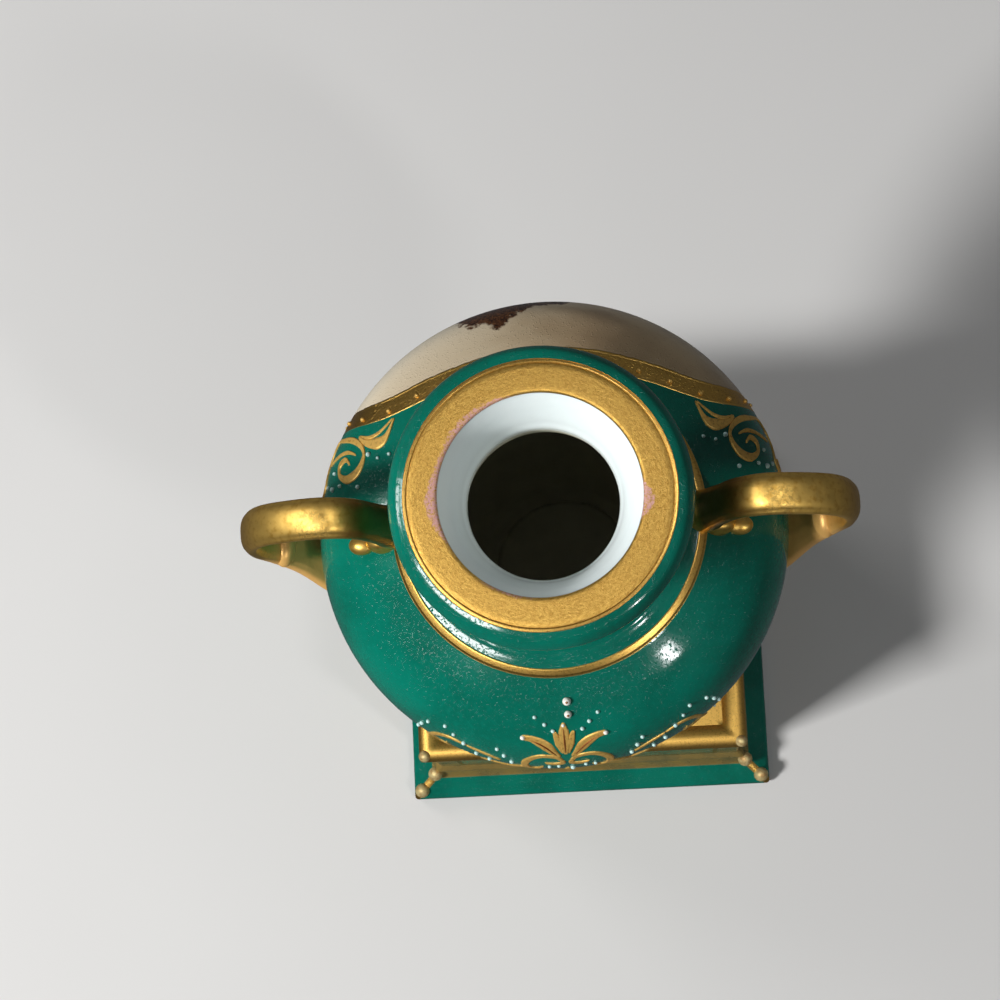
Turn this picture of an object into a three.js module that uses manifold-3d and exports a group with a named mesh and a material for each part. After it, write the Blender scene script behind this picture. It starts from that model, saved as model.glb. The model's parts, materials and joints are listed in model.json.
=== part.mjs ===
// Mantel urn: a porcelain vase with two scroll handles on a square porcelain plinth.
// Millimetres, +Z up. The origin is under the middle of the plinth, where it meets the shelf.
// The painted side faces -Y and the handles stand along X.
import * as THREE from "three";
import { mergeVertices } from "three/addons/utils/BufferGeometryUtils.js";
import Module from "manifold-3d";

const wasm = await Module();
wasm.setup();

// Driving dimensions
const HEIGHT = 216; // shelf to rim
const RIM_RADIUS = 25; // outer edge of the gilt mouth ring
const MOUTH_RADIUS = 19; // inner edge of the gilt mouth ring
const THROAT_RADIUS = 14.5; // narrowest bore
const LIP_RADIUS = 28.4; // widest part of the rolled lip
const WAIST_RADIUS = 18.9; // narrowest part of the neck outside
const NECK_FOOT_RADIUS = 30; // gilt line where neck and shoulder meet
const BODY_RADIUS = 47.5; // widest part of the body
const WALL = 4.4; // porcelain thickness of the body
const PLINTH_HEIGHT = 58.4; // shelf to the top of the gilt border
const PLINTH_HALF = 39.6; // half width of the gilt border
const BASE_HALF = 46.4; // half width of the spreading base
const PLINTH_WALL = 5; // porcelain thickness of the plinth
const HANDLE_REACH = 60.6; // axis to the outermost point of a handle
const SEAT_GAP = 0.3; // joint between the foot and the plinth

// Heights above the shelf
const FIELD_Z = PLINTH_HEIGHT - 1.8; // sunk top of the plinth that carries the foot
const FOOT_Z = FIELD_Z + SEAT_GAP;
const COLLAR_Z = 98; // where the body meets the socle
const FLOOR_Z = 103; // floor inside the vase
const BELLY_Z = 164; // widest part of the body
const NECK_FOOT_Z = 182.5;
const WAIST_Z = 201;
const LIP_Z = HEIGHT - 3.8;
const MOUTH_Z = HEIGHT - 0.6; // the flat gilt ring breaks down into the bore here

// Smoothness
const ROUND_STEPS = 48; // sides of everything turned about the axis
const STRAP_STEPS = 26; // lengths along a handle
const STRAP_SIDES = 10; // sides of a handle's section

// Colours
const GLAZE = new THREE.MeshStandardMaterial({ color: 0x0a6a52, roughness: 0.12, metalness: 0 });
const GILT = new THREE.MeshStandardMaterial({ color: 0xb98a35, roughness: 0.35, metalness: 0.9 });

const point = (x, y) => new THREE.Vector2(x, y);

// A smooth outline through a few points, as a list of points.
function smooth(points, steps) {
  return new THREE.SplineCurve(points).getPoints(steps);
}

// One closed manifold solid from a geometry.
function solid(geometry) {
  const bare = geometry.clone();
  for (const name of Object.keys(bare.attributes)) {
    if (name !== "position") bare.deleteAttribute(name);
  }
  const merged = mergeVertices(bare, 1e-4);
  const index = merged.index.array;
  const corners = [];
  for (let i = 0; i < index.length; i += 3) {
    const [a, b, c] = [index[i], index[i + 1], index[i + 2]];
    if (a !== b && b !== c && c !== a) corners.push(a, b, c);
  }
  return new wasm.Manifold(
    new wasm.Mesh({
      numProp: 3,
      vertProperties: new Float32Array(merged.attributes.position.array),
      triVerts: new Uint32Array(corners),
    }),
  );
}

function geometryOf(body) {
  const mesh = body.getMesh();
  const geometry = new THREE.BufferGeometry();
  geometry.setAttribute("position", new THREE.BufferAttribute(mesh.vertProperties, 3));
  geometry.setIndex(new THREE.BufferAttribute(mesh.triVerts, 1));
  geometry.computeVertexNormals();
  return geometry;
}

// A profile of (radius, height) points turned about the upright axis.
function turned(profile, steps = ROUND_STEPS) {
  return new THREE.LatheGeometry(profile, steps).rotateX(Math.PI / 2);
}

// A profile of (half width, height) points carried round a square, with mitred corners.
function squared(profile) {
  const corners = profile.map((p) => point(p.x * Math.SQRT2, p.y));
  return new THREE.LatheGeometry(corners, 4).rotateX(Math.PI / 2).rotateZ(Math.PI / 4);
}

// The outside of the vase, from the foot up to the rim.
function outerProfile() {
  const foot = [
    point(0, FOOT_Z + 2),
    point(21, FOOT_Z + 2),
    point(21.6, FOOT_Z),
    point(25.2, FOOT_Z),
    ...smooth([point(26.4, FOOT_Z + 1.2), point(26.9, FOOT_Z + 3), point(26, FOOT_Z + 4.8)], 3),
    point(24.2, FOOT_Z + 5.6),
    point(23.8, FOOT_Z + 7),
  ];
  const stem = smooth(
    [point(22.6, FOOT_Z + 8), point(15.5, FOOT_Z + 12.5), point(10.2, FOOT_Z + 20), point(8.4, FOOT_Z + 29)],
    6,
  );
  const knop = smooth(
    [point(10, COLLAR_Z - 9), point(12.4, COLLAR_Z - 7), point(12.6, COLLAR_Z - 5), point(10.4, COLLAR_Z - 3)],
    4,
  );
  const body = smooth(
    [
      point(12, COLLAR_Z),
      point(22, COLLAR_Z + 6.5),
      point(32, COLLAR_Z + 19),
      point(40.6, COLLAR_Z + 36),
      point(46, BELLY_Z - 14),
      point(BODY_RADIUS, BELLY_Z),
      point(44.6, BELLY_Z + 10),
      point(38, NECK_FOOT_Z - 3.2),
      point(NECK_FOOT_RADIUS, NECK_FOOT_Z),
    ],
    15,
  );
  const neck = smooth(
    [
      point(NECK_FOOT_RADIUS - 2, NECK_FOOT_Z + 1.2),
      point(22.4, NECK_FOOT_Z + 7.5),
      point(WAIST_RADIUS, WAIST_Z),
      point(21.6, LIP_Z - 5.6),
      point(26.2, LIP_Z - 3.2),
      point(LIP_RADIUS, LIP_Z),
      point(27.4, HEIGHT - 1),
      point(RIM_RADIUS + 0.4, HEIGHT - 0.1),
    ],
    12,
  );
  return [...foot, ...stem, ...knop, ...body, ...neck, point(RIM_RADIUS - 0.6, HEIGHT)];
}

// The inside of the vase, from the gilt ring down to the raised pad on its floor.
function innerProfile() {
  const bore = smooth(
    [
      point(MOUTH_RADIUS, MOUTH_Z),
      point(17, HEIGHT - 4.5),
      point(15.2, HEIGHT - 9.5),
      point(THROAT_RADIUS, WAIST_Z),
      point(17.6, NECK_FOOT_Z + 4),
      point(27, NECK_FOOT_Z - 4.4),
    ],
    7,
  );
  const cavity = smooth(
    [
      point(36, NECK_FOOT_Z - 8.6),
      point(BODY_RADIUS - WALL, BELLY_Z - 1),
      point(46 - WALL, BELLY_Z - 15),
      point(40.6 - WALL - 0.6, COLLAR_Z + 37),
      point(32 - WALL - 1, COLLAR_Z + 21),
      point(18, FLOOR_Z + 0.4),
    ],
    8,
  );
  const pad = [point(15.6, FLOOR_Z - 1.2), point(14.8, FLOOR_Z), point(0, FLOOR_Z)];
  return [point(MOUTH_RADIUS + 0.6, HEIGHT), ...bore, ...cavity, ...pad];
}

function vaseBody() {
  return solid(turned([...outerProfile(), ...innerProfile()]));
}

// A strap whose section changes along its way in the XZ plane.
// Each station has its middle (x, z), half width across Y and half thickness.
function strap(stations) {
  const path = new THREE.CatmullRomCurve3(stations.map((s) => new THREE.Vector3(s.x, s.half, s.z)));
  const thin = new THREE.CatmullRomCurve3(stations.map((s) => new THREE.Vector3(s.x, s.thick, s.z)));
  const corners = [];
  const faces = [];
  for (let i = 0; i <= STRAP_STEPS; i += 1) {
    const t = i / STRAP_STEPS;
    const middle = path.getPoint(t);
    const ahead = path.getTangent(t);
    const along = new THREE.Vector2(ahead.x, ahead.z).normalize();
    const thick = thin.getPoint(t).y;
    for (let k = 0; k < STRAP_SIDES; k += 1) {
      const turn = (2 * Math.PI * k) / STRAP_SIDES;
      const across = middle.y * squareish(Math.cos(turn));
      const out = thick * squareish(Math.sin(turn));
      corners.push(middle.x - along.y * out, across, middle.z + along.x * out);
    }
  }
  const ring = (i, k) => i * STRAP_SIDES + (k % STRAP_SIDES);
  for (let i = 0; i < STRAP_STEPS; i += 1) {
    for (let k = 0; k < STRAP_SIDES; k += 1) {
      faces.push(ring(i, k), ring(i + 1, k + 1), ring(i + 1, k));
      faces.push(ring(i, k), ring(i, k + 1), ring(i + 1, k + 1));
    }
  }
  for (let k = 1; k < STRAP_SIDES - 1; k += 1) {
    faces.push(ring(0, 0), ring(0, k + 1), ring(0, k));
    faces.push(ring(STRAP_STEPS, 0), ring(STRAP_STEPS, k), ring(STRAP_STEPS, k + 1));
  }
  const geometry = new THREE.BufferGeometry();
  geometry.setAttribute("position", new THREE.Float32BufferAttribute(corners, 3));
  geometry.setIndex(faces);
  return geometry;
}

// Rounds a circle's cosine or sine towards a soft rectangle.
function squareish(value) {
  return Math.sign(value) * Math.abs(value) ** 0.7;
}

// From the foot of the neck, up over the crest, round the bend and back into the widest part of the body.
const HANDLE_STATIONS = [
  { x: 27, z: NECK_FOOT_Z - 3, half: 4.4, thick: 3 },
  { x: 31.2, z: NECK_FOOT_Z + 2, half: 4.2, thick: 2.6 },
  { x: 33.4, z: NECK_FOOT_Z + 8.5, half: 3.9, thick: 2.1 },
  { x: 36.4, z: NECK_FOOT_Z + 15.1, half: 3.9, thick: 1.9 },
  { x: 41.6, z: NECK_FOOT_Z + 18.5, half: 4, thick: 1.8 },
  { x: 48, z: NECK_FOOT_Z + 17.3, half: 4, thick: 1.8 },
  { x: HANDLE_REACH - 6, z: NECK_FOOT_Z + 13.1, half: 4, thick: 1.8 },
  { x: HANDLE_REACH - 2.4, z: NECK_FOOT_Z + 5.5, half: 4, thick: 1.9 },
  { x: HANDLE_REACH - 2, z: NECK_FOOT_Z - 3.5, half: 4, thick: 2 },
  { x: HANDLE_REACH - 4, z: NECK_FOOT_Z - 12.5, half: 4, thick: 2.1 },
  { x: 52.3, z: BELLY_Z - 0.6, half: 5.4, thick: 2.3 },
  { x: 47.5, z: BELLY_Z - 5.4, half: 8.6, thick: 2.5 },
  { x: 43, z: BELLY_Z - 8.4, half: 11, thick: 2.6 },
];

// A short roll across the handle, where the strap scrolls over.
function roll(x, z, radius, half) {
  const end = half - 0.5;
  const outline = [
    point(0, -half),
    point(radius * 0.7, -half),
    point(radius, -end),
    point(radius, end),
    point(radius * 0.7, half),
    point(0, half),
  ];
  return new THREE.LatheGeometry(outline, 12).translate(x, 0, z);
}

// A rounded leaf that lies on the shoulder under the strap.
function shoulderLeaf() {
  const leaf = new THREE.SphereGeometry(1, 10, 6);
  return leaf.scale(4.8, 4.5, 3.4).translate(35, 0, NECK_FOOT_Z - 2.4);
}

function handle(side) {
  const bend = roll(HANDLE_REACH - 6, BELLY_Z + 4.6, 2.5, 4.8);
  const whole = solid(strap(HANDLE_STATIONS)).add(solid(shoulderLeaf())).add(solid(bend));
  return side > 0 ? whole : whole.rotate([0, 0, 180]);
}

// The handles stop inside the wall, so what would show in the cavity is cut away.
function vase() {
  const cavity = solid(turned([point(0, HEIGHT), ...innerProfile()].reverse()));
  const handles = handle(1).add(handle(-1)).subtract(cavity);
  return vaseBody().add(handles);
}

// The square plinth: gilt border round a sunk top, tall sides and a spreading base, open below.
function plinth() {
  const border = smooth(
    [
      point(PLINTH_HALF - 4.6, FIELD_Z),
      point(PLINTH_HALF - 3.4, FIELD_Z + 1.2),
      point(PLINTH_HALF - 1.9, PLINTH_HEIGHT),
      point(PLINTH_HALF - 0.5, PLINTH_HEIGHT - 0.7),
      point(PLINTH_HALF, PLINTH_HEIGHT - 2),
      point(PLINTH_HALF - 0.6, PLINTH_HEIGHT - 3.4),
    ],
    10,
  );
  const side = [
    point(PLINTH_HALF - 1.4, PLINTH_HEIGHT - 3.8),
    point(PLINTH_HALF - 1.4, PLINTH_HEIGHT - 5),
    point(PLINTH_HALF - 1, 12.5),
    point(PLINTH_HALF - 0.2, 11.6),
    point(PLINTH_HALF + 0.3, 10.4),
    point(PLINTH_HALF - 0.1, 9.2),
  ];
  const base = smooth(
    [
      point(PLINTH_HALF + 0.3, 8.4),
      point(PLINTH_HALF + 1.6, 6.2),
      point(PLINTH_HALF + 4.4, 4.7),
      point(BASE_HALF - 0.5, 3.6),
      point(BASE_HALF, 2.2),
      point(BASE_HALF - 0.2, 0.8),
    ],
    8,
  );
  const inside = PLINTH_HALF - 1.2 - PLINTH_WALL;
  const under = [
    point(BASE_HALF - 1, 0),
    point(inside + 1, 0),
    point(inside, 1.5),
    point(inside, FIELD_Z - PLINTH_WALL - 2),
    point(inside - 2, FIELD_Z - PLINTH_WALL),
    point(0, FIELD_Z - PLINTH_WALL),
  ];
  const profile = [point(0, FIELD_Z), ...border, ...side, ...base, ...under];
  let body = solid(squared(profile.reverse()));
  for (const [half, z, radius] of [
    [PLINTH_HALF - 1.4, PLINTH_HEIGHT - 0.5, 1.5],
    [PLINTH_HALF + 0.6, 8.6, 1.7],
    [PLINTH_HALF + 4.6, 4.4, 1.7],
  ]) {
    const bead = new THREE.SphereGeometry(radius, 8, 5);
    for (const [x, y] of [[1, 1], [-1, 1], [-1, -1], [1, -1]]) {
      body = body.add(solid(bead.clone().translate(half * x, half * y, z)));
    }
  }
  return body;
}

function named(name, body, material) {
  const mesh = new THREE.Mesh(geometryOf(body), material);
  mesh.name = name;
  return mesh;
}

const urn = new THREE.Group();
urn.name = "mantel_urn";
urn.add(named("vase", vase(), GLAZE));
urn.add(named("plinth", plinth(), GILT));

export default urn;
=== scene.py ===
# Mantel urn: a green and gilt porcelain vase with two scroll handles on a square porcelain plinth.
# The sections follow the real making: plinth, vase with its painted panel, handles, raised gilding, then
# beads and enamel dots. The studio comes last.
# Shapes are worked out in millimetres and made in metres.
import json
import math

import bpy
import numpy as np
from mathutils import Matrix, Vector

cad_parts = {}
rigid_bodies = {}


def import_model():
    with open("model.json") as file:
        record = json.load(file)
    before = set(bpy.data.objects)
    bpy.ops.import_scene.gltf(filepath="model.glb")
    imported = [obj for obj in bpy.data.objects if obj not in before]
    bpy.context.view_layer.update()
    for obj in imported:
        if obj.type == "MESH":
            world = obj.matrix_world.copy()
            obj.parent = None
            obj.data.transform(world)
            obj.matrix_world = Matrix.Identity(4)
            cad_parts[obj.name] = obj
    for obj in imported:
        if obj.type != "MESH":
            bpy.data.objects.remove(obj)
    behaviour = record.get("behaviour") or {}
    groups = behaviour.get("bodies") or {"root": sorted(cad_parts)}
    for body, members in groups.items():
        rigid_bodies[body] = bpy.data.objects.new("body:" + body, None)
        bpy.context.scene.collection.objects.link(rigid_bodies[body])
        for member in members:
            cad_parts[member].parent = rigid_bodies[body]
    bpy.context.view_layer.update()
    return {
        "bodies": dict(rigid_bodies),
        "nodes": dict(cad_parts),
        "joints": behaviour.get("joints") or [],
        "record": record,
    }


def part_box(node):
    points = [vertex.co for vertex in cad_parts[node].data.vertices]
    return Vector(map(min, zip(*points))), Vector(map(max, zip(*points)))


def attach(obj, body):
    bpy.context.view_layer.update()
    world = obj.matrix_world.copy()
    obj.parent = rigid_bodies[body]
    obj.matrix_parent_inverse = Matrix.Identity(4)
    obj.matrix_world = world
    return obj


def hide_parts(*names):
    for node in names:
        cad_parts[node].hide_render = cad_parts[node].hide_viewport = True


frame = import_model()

MM = 0.001


# ---------------------------------------------------------------- Plinth
# A moulded porcelain block, open below. The sunk top and its rolled border are gilt. Each tall side has
# a green field in a gilt line with thinly gilt margins, and the spreading base is green. The mould
# leaves mitred corners.

base_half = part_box("plinth")[1].x / MM
border_half = 39.6
border_top = 58.4
field_z = 56.6
wall = 5.0
corner_round = 0.9
corner_parts = 6
moulding_steps = 40


class Finish:
    """A material, with one short call for each kind of node that it is built from."""

    def __init__(self, name):
        self.material = bpy.data.materials.new(name)
        self.material.use_nodes = True
        self.tree = self.material.node_tree
        self.shader = self.tree.nodes["Principled BSDF"]
        where = self.tree.nodes.new("ShaderNodeTexCoord").outputs["Object"]
        in_millimetres = {0: where, "Scale": 1 / MM}
        self.place = self.node("ShaderNodeVectorMath", in_millimetres, operation="SCALE").outputs[0]
        apart = self.node("ShaderNodeSeparateXYZ", {0: self.place})
        self.x, self.y, self.z = apart.outputs

    def node(self, kind, inputs, **settings):
        made = self.tree.nodes.new(kind)
        for key, value in settings.items():
            setattr(made, key, value)
        for key, value in inputs.items():
            self.feed(made.inputs[key], value)
        return made

    def feed(self, socket, value):
        if isinstance(value, bpy.types.NodeSocket):
            self.tree.links.new(value, socket)
        else:
            socket.default_value = value

    def set(self, **values):
        for key, value in values.items():
            self.feed(self.shader.inputs[key.replace("_", " ")], value)

    def number(self, operation, a, b=0.0, c=0.0):
        return self.node("ShaderNodeMath", {0: a, 1: b, 2: c}, operation=operation).outputs[0]

    def plus(self, a, b):
        return self.number("ADD", a, b)

    def minus(self, a, b):
        return self.number("SUBTRACT", a, b)

    def times(self, a, b):
        return self.number("MULTIPLY", a, b)

    def larger(self, a, b):
        return self.number("MAXIMUM", a, b)

    def line(self, value, slope, start):
        """start plus slope times value."""
        return self.number("MULTIPLY_ADD", value, slope, start)

    def noise(self, scale, detail=2.0, where=None, roughness=0.5):
        inputs = {"Vector": where or self.place, "Scale": scale}
        inputs.update({"Detail": detail, "Roughness": roughness})
        return self.node("ShaderNodeTexNoise", inputs).outputs["Fac"]

    def stretched(self, x, y, z):
        factors = {0: self.place, 1: (x, y, z)}
        return self.node("ShaderNodeVectorMath", factors, operation="MULTIPLY").outputs[0]

    def combined(self, x, y, z=0.0):
        return self.node("ShaderNodeCombineXYZ", {0: x, 1: y, 2: z}).outputs[0]

    def distance(self, where, point):
        ends = {0: where, 1: point}
        return self.node("ShaderNodeVectorMath", ends, operation="DISTANCE").outputs["Value"]

    def spread(self, value, low, high):
        """A value of 0 to 1 laid out evenly from low to high."""
        return self.node("ShaderNodeMapRange", {0: value, 3: low, 4: high}).outputs[0]

    def rise(self, value, start, end):
        """0 at start, 1 at end, smooth between."""
        inputs = {"Value": value, "From Min": start, "From Max": end}
        return self.node("ShaderNodeMapRange", inputs, interpolation_type="SMOOTHSTEP").outputs[0]

    def between(self, value, low, high, soft):
        """1 between low and high, 0 outside."""
        rising = self.rise(value, low - soft, low + soft)
        falling = self.rise(value, high + soft, high - soft)
        return self.times(rising, falling)

    def blend(self, amount, first, second, blend_type="MIX"):
        mix = self.node("ShaderNodeMix", {}, data_type="RGBA", blend_type=blend_type)
        for socket, value in ((mix.inputs[0], amount), (mix.inputs[6], first), (mix.inputs[7], second)):
            if isinstance(value, tuple):
                value = (*value, 1.0)
            self.feed(socket, value)
        return mix.outputs[2]

    def relief(self, height, distance, strength=1.0, under=None):
        inputs = {"Height": height, "Distance": distance * MM, "Strength": strength}
        if under:
            inputs["Normal"] = under
        return self.node("ShaderNodeBump", inputs).outputs[0]

    def round(self):
        """Distance from the upright axis and the way round it, in millimetres and radians."""
        flat = {0: self.combined(self.x, self.y)}
        radius = self.node("ShaderNodeVectorMath", flat, operation="LENGTH").outputs["Value"]
        return radius, self.number("ARCTAN2", self.y, self.x)


green_deep = (0.0, 0.112, 0.074)
green_lit = (0.0, 0.150, 0.101)
gold_bright = (0.80, 0.49, 0.12)
gold_brown = (0.46, 0.24, 0.05)


def glaze_colour(finish):
    """Green laid on by hand, a little deeper where it pools."""
    pool = finish.noise(0.06, 3.0)
    mottle = finish.noise(0.9, 4.0)
    colour = finish.blend(finish.rise(pool, 0.35, 0.65), green_deep, green_lit)
    return finish.blend(finish.times(finish.rise(mottle, 0.45, 0.75), 0.3), colour, (0.0, 0.185, 0.126))


def glaze_skin(finish):
    """The fired surface: an even gloss with fine pits that break up the edges of highlights."""
    ripple = finish.relief(finish.noise(0.35, 2.0), 0.05, 0.5)
    pits = finish.rise(finish.noise(2.2, 2.0, roughness=0.6), 0.56, 0.72)
    return finish.relief(pits, 0.05, 1.0, ripple)


def gold_colour(finish, scale=2.5):
    """Burnished gold with brown where the brush left it thin."""
    thin = finish.noise(scale, 5.0, roughness=0.65)
    return finish.blend(finish.rise(thin, 0.48, 0.72), gold_bright, gold_brown)


def plain_gold(name, roughness, scale=2.5, metal=1.0):
    finish = Finish(name)
    finish.set(Base_Color=gold_colour(finish, scale), Metallic=metal)
    grain = finish.noise(6.0, 3.0)
    finish.set(Roughness=finish.spread(grain, roughness - 0.07, roughness + 0.1))
    finish.set(Normal=finish.relief(grain, 0.03, 0.5))
    return finish.material


def plinth_green():
    """A green field in a gilt line on each side, thinly gilt margins, and lines down the mitres."""
    finish = Finish("plinth_green_glaze")
    far = [finish.number("ABSOLUTE", finish.x), finish.number("ABSOLUTE", finish.y)]
    across = finish.number("MINIMUM", *far)
    mitre = finish.number("ABSOLUTE", finish.minus(far[0], far[1]))
    wander = finish.line(finish.noise(0.15, 1.0), 0.4, -0.2)
    beside = finish.plus(across, wander)
    level = finish.plus(finish.z, wander)
    frame = finish.times(finish.rise(beside, 32.9, 32.8), finish.between(level, 15.8, 48.3, 0.08))
    field = finish.times(finish.rise(beside, 31.7, 31.6), finish.between(level, 17.1, 47.0, 0.08))
    on_mitre = finish.times(finish.rise(mitre, 1.5, 1.2), finish.rise(finish.z, 9.5, 9.0))
    line = finish.larger(finish.minus(frame, field), on_mitre)
    patchy = finish.rise(finish.noise(0.12, 3.0, roughness=0.55), 0.3, 0.7)
    margin = finish.times(finish.rise(finish.z, 6.1, 6.3), finish.minus(1.0, frame))
    thin = finish.times(margin, finish.line(patchy, 0.25, 0.45))
    gilt = finish.larger(line, thin)
    wash = finish.blend(patchy, gold_brown, gold_bright)
    gold = finish.blend(line, wash, gold_colour(finish))
    finish.set(Base_Color=finish.blend(gilt, glaze_colour(finish), gold))
    finish.set(Metallic=gilt, Roughness=finish.line(gilt, 0.24, 0.14), Normal=glaze_skin(finish))
    return finish.material


def curve_through(points, steps):
    """Points along the smooth curve through a few points, in even steps of its own measure."""
    points = np.array(points, float)
    last = len(points) - 1
    found = []
    for step in range(steps + 1):
        along = step * last / steps
        i = min(int(along), last)
        t = along - i
        p0, p1 = points[max(i - 1, 0)], points[i]
        p2, p3 = points[min(i + 1, last)], points[min(i + 2, last)]
        v0, v1 = (p2 - p0) / 2, (p3 - p1) / 2
        cubic = 2 * p1 - 2 * p2 + v0 + v1
        square = -3 * p1 + 3 * p2 - 2 * v0 - v1
        found.append(cubic * t**3 + square * t**2 + v0 * t + p1)
    return [tuple(p) for p in found]


def add_piece(name, corners, faces, materials, face_materials=None, sharp=40):
    """A mesh object at the origin from millimetre corners, smooth but for its real edges."""
    mesh = bpy.data.meshes.new(name)
    mesh.from_pydata([tuple(c * MM for c in corner) for corner in corners], [], faces)
    for material in materials:
        mesh.materials.append(material)
    if face_materials is not None:
        mesh.polygons.foreach_set("material_index", face_materials)
    mesh.polygons.foreach_set("use_smooth", [True] * len(mesh.polygons))
    mesh.set_sharp_from_angle(angle=math.radians(sharp))
    mesh.update()
    piece = bpy.data.objects.new(name, mesh)
    bpy.context.scene.collection.objects.link(piece)
    return piece


def squared_ring(half, z):
    """One level of the plinth: a square with barely rounded corners."""
    soft = min(corner_round, half)
    ring = []
    for corner in range(4):
        turn = math.pi / 2 * corner
        middle = half - soft
        cx = middle * (math.cos(turn) - math.sin(turn))
        cy = middle * (math.sin(turn) + math.cos(turn))
        for part in range(corner_parts + 1):
            angle = turn + math.pi / 2 * part / corner_parts
            ring.append((cx + soft * math.cos(angle), cy + soft * math.sin(angle), z))
    return ring


def rings_to_faces(count, sides):
    """Faces between rings of equal size, with the two ends closed."""
    faces = []
    for i in range(count - 1):
        for k in range(sides):
            m = (k + 1) % sides
            faces.append((i * sides + k, i * sides + m, (i + 1) * sides + m, (i + 1) * sides + k))
    faces.append(tuple(range(sides))[::-1])
    faces.append(tuple((count - 1) * sides + k for k in range(sides)))
    return faces


def plinth():
    under = [
        (5, field_z - wall), (border_half - 8.2, field_z - wall),
        (border_half - 6.2, field_z - wall - 2), (border_half - 6.2, 1.5), (border_half - 5.2, 0),
        (base_half - 1.2, 0), (base_half - 0.7, 0.1),
    ]
    base = curve_through(
        [
            (base_half - 0.2, 0.8), (base_half, 2.2), (base_half - 0.5, 3.6),
            (border_half + 4.4, 4.7), (border_half + 1.6, 6.2), (border_half + 0.3, 8.4),
        ],
        moulding_steps,
    )
    side = [
        (border_half - 0.1, 9.2), (border_half + 0.15, 9.7), (border_half + 0.3, 10.4),
        (border_half + 0.2, 11), (border_half - 0.2, 11.6), (border_half - 1, 12.5),
        (border_half - 1.2, 33), (border_half - 1.4, 53.4), (border_half - 1.4, 54.6),
    ]
    border = curve_through(
        [
            (border_half - 0.6, 55), (border_half, 56.4), (border_half - 0.7, 57.8),
            (border_half - 2.4, border_top), (border_half - 4.3, field_z + 1.2),
            (border_half - 5.6, field_z),
        ],
        moulding_steps,
    )
    field = [(half, field_z) for half in (33, 30, 20, 10, 4)]
    profile = under + base + side + border + field
    gilt_from = len(under + base + side) - 1
    rings = [squared_ring(half, z) for half, z in profile]
    sides = len(rings[0])
    faces = rings_to_faces(len(rings), sides)
    kinds = [1 if i // sides >= gilt_from else 0 for i in range((len(rings) - 1) * sides)]
    kinds = [2 if i // sides < len(under) - 1 else kind for i, kind in enumerate(kinds)] + [2, 1]
    corners = [corner for ring in rings for corner in ring]
    materials = [plinth_green(), plain_gold("plinth_gilding", 0.44), bare_porcelain()]
    return add_piece("plinth_block", corners, faces, materials, kinds)


def bare_porcelain():
    finish = Finish("bare_porcelain")
    speck = finish.rise(finish.noise(0.9, 4.0), 0.62, 0.8)
    finish.set(Base_Color=finish.blend(speck, (0.72, 0.70, 0.64), (0.45, 0.40, 0.33)), Roughness=0.55)
    finish.set(Normal=finish.relief(finish.noise(3.0, 4.0), 0.05, 0.5))
    return finish.material


plinth_block = plinth()
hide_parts("plinth")
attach(plinth_block, "root")


# ---------------------------------------------------------------- Vase
# One thrown and turned porcelain shell: socle, ovoid body and waisted neck with a rolled lip.
# Green glaze outside, white inside, and a satin gilt ring round the mouth.

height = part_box("vase")[1].z / MM
ring_inner = 19.0
throat = 14.5
belly_radius = 47.5
belly_z = 164.0
neck_foot_radius = 30.0
neck_foot_z = 182.5
waist_z = 201.0
collar_z = 98.0
foot_z = field_z + 0.3
lip_z = height - 3.8
round_steps = 256
body_steps = 128

body_curve = curve_through(
    [
        (12, collar_z), (22, collar_z + 6.5), (32, collar_z + 19), (40.6, collar_z + 36),
        (46, belly_z - 14), (belly_radius, belly_z), (44.6, belly_z + 10),
        (38, neck_foot_z - 3.2), (neck_foot_radius, neck_foot_z),
    ],
    body_steps,
)


def raised_line(start, end, proud):
    """A low rounded line between two points of an outline."""
    (r0, z0), (r1, z1) = start, end
    long = math.hypot(r1 - r0, z1 - z0)
    out = ((z1 - z0) / long, (r0 - r1) / long)
    found = []
    for t, rise in ((0, 0), (0.08, 0.8), (0.2, 1), (0.5, 0.7), (0.8, 1), (0.92, 0.8), (1, 0)):
        r = r0 + (r1 - r0) * t + out[0] * rise * proud
        z = z0 + (z1 - z0) * t + out[1] * rise * proud
        found.append((r, z))
    return found


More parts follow.
